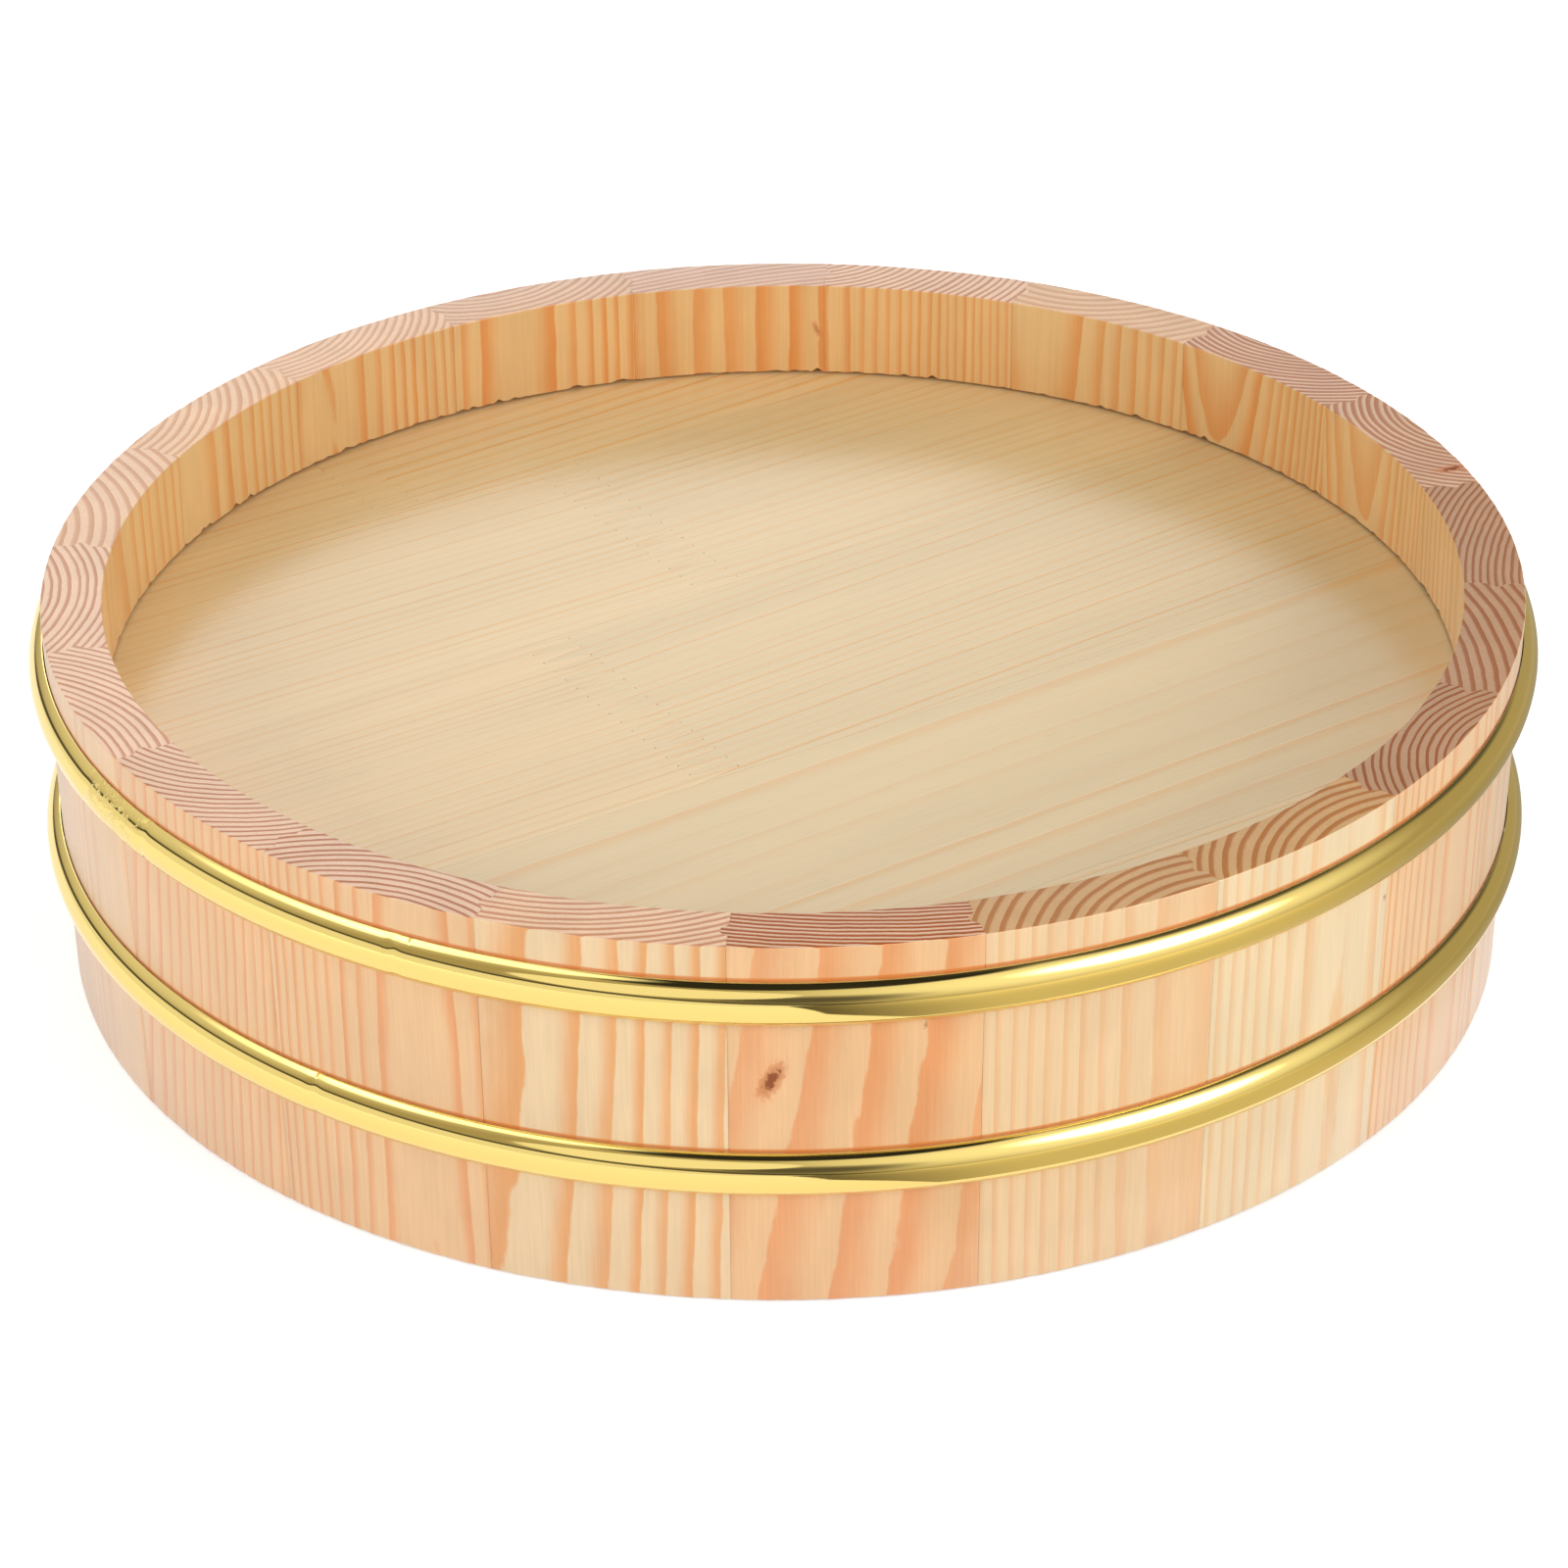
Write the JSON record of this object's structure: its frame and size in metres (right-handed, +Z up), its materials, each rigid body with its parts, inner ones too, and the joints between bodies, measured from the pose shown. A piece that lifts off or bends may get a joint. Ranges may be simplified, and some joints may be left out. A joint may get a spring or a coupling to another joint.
{
  "type": "sushi rice tub",
  "caption": "Shallow round wooden tub for sushi rice, built of pine staves held by gold half-round hoops, with a raised board floor set in a groove.",
  "frame": {"origin": "centre of the tub on the surface that it stands on", "axes": "+Z up out of the tub's mouth, -Y towards the viewer of the picture, +X to the viewer's right"},
  "size_m": [0.337, 0.337, 0.086],
  "materials": {
    "stave_pine": "smooth sanded, unvarnished, warm peach stripes with pinkish end grain on the rim",
    "floor_pine": "smooth sanded, unvarnished, pale straw with fine grain lines",
    "gold_plate": "polished gold colour"
  },
  "bodies": {
    "root": {"stave_01": "stave_pine", "stave_02": "stave_pine", "stave_03": "stave_pine", "stave_04": "stave_pine", "stave_05": "stave_pine", "stave_06": "stave_pine", "stave_07": "stave_pine", "stave_08": "stave_pine", "stave_09": "stave_pine", "stave_10": "stave_pine", "stave_11": "stave_pine", "stave_12": "stave_pine", "stave_13": "stave_pine", "stave_14": "stave_pine", "stave_15": "stave_pine", "stave_16": "stave_pine", "stave_17": "stave_pine", "stave_18": "stave_pine", "stave_19": "stave_pine", "stave_20": "stave_pine", "floor_board_1a": "floor_pine", "floor_board_1b": "floor_pine", "floor_board_2a": "floor_pine", "floor_board_2b": "floor_pine", "floor_board_3a": "floor_pine", "floor_board_3b": "floor_pine", "floor_board_4": "floor_pine", "floor_board_5": "floor_pine", "upper_hoop": "gold_plate", "lower_hoop": "gold_plate"}
  },
  "joints": []
}
